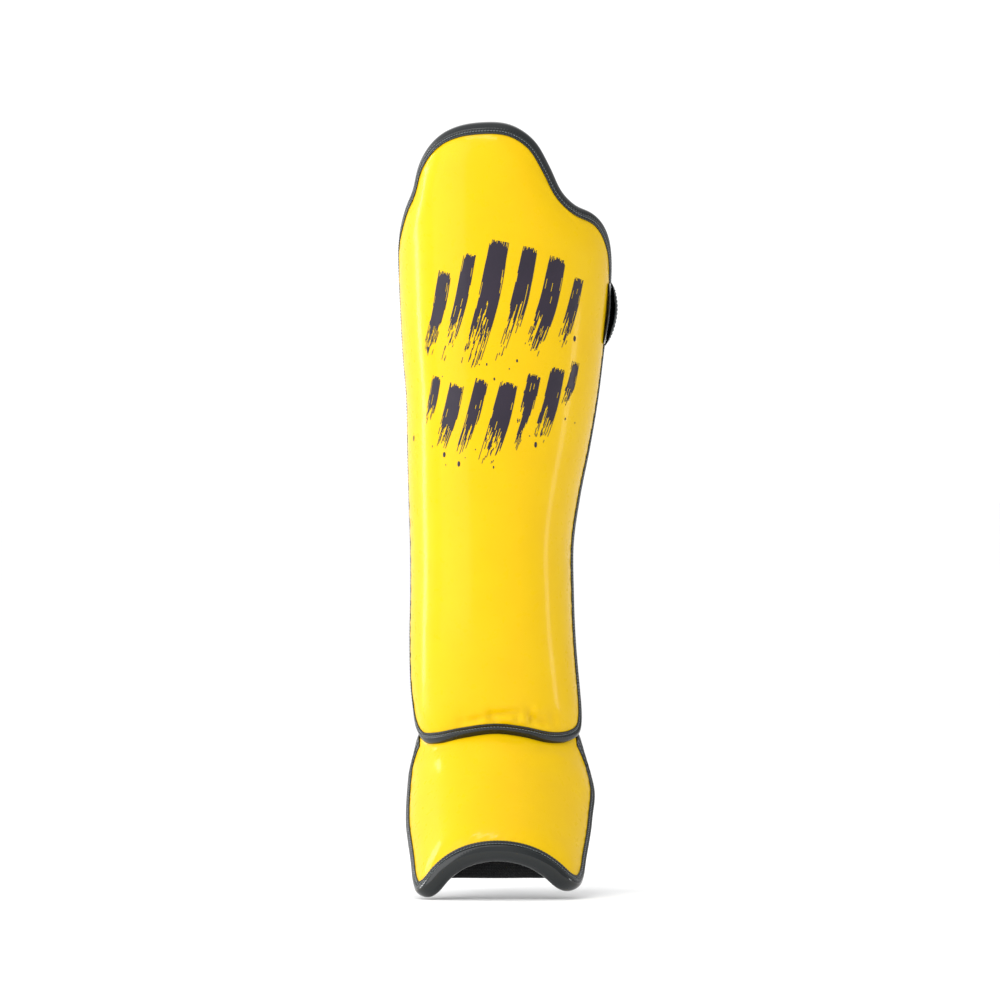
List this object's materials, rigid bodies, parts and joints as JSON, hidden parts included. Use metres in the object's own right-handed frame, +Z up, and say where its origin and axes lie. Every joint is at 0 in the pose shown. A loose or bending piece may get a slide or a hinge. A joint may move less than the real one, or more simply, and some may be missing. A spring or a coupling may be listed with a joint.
{
  "type": "shin guard",
  "caption": "Padded kick-boxing shin guard with a hinged instep pad, two hook-and-loop calf straps, a heel strap and a strap under the foot.",
  "frame": {"origin": "on the leg's axis at the height of the ankle fold", "axes": "+Z up along the leg, the guard's front towards -Y, +X to the side of the flared calf wing"},
  "size_m": [0.1404, 0.1776, 0.4829],
  "materials": {
    "yellow_vinyl": "glossy synthetic leather",
    "black_vinyl": "glossy synthetic leather",
    "impact_foam": "matt closed-cell foam",
    "comfort_foam": "matt soft foam",
    "lining": "matt woven lining",
    "loop_tape": "matt loop pile",
    "hook_tape": "matt hooks",
    "black_elastic": "matt ribbed elastic",
    "grey_elastic": "matt ribbed elastic"
  },
  "bodies": {
    "shin": {"shin_cover": "yellow_vinyl", "shin_impact_foam": "impact_foam", "shin_comfort_foam": "comfort_foam", "shin_lining": "lining", "shin_binding": "black_vinyl", "ankle_web": "lining", "upper_loop_wing": "black_vinyl", "upper_loop_tape": "loop_tape", "upper_strap_anchor": "black_vinyl", "lower_loop_wing": "black_vinyl", "lower_loop_tape": "loop_tape", "lower_strap_anchor": "black_vinyl"},
    "instep": {"instep_cover": "yellow_vinyl", "instep_impact_foam": "impact_foam", "instep_comfort_foam": "comfort_foam", "instep_lining": "lining", "instep_binding": "black_vinyl", "foot_strap": "black_elastic", "heel_strap": "grey_elastic"},
    "upper_strap": {"upper_strap_elastic": "black_elastic"},
    "upper_tab": {"upper_strap_tab": "black_vinyl", "upper_hook_tape": "hook_tape"},
    "lower_strap": {"lower_strap_elastic": "black_elastic"},
    "lower_tab": {"lower_strap_tab": "black_vinyl", "lower_hook_tape": "hook_tape"}
  },
  "joints": [
    {"name": "ankle_flex", "type": "hinge", "parent": "shin", "child": "instep", "pos_m": [0, -0.034, 0.003], "axis": [1, 0, 0], "range_deg": [-20, 14], "stiffness_Nm_per_rad": 2, "deforming": ["ankle_web"]},
    {"name": "upper_strap_open", "type": "hinge", "parent": "shin", "child": "upper_strap", "pos_m": [-0.05228, 0.02382, 0.264], "axis": [0, 0, 1], "range_deg": [0, 100]},
    {"name": "upper_tab_peel", "type": "hinge", "parent": "upper_strap", "child": "upper_tab", "pos_m": [0.03522, 0.06724, 0.264], "axis": [0, 0, 1], "range_deg": [0, 70]},
    {"name": "lower_strap_open", "type": "hinge", "parent": "shin", "child": "lower_strap", "pos_m": [-0.04952, 0.02193, 0.084], "axis": [0, 0, 1], "range_deg": [0, 100]},
    {"name": "lower_tab_peel", "type": "hinge", "parent": "lower_strap", "child": "lower_tab", "pos_m": [0.02275, 0.04997, 0.084], "axis": [0, 0, 1], "range_deg": [0, 70]}
  ]
}
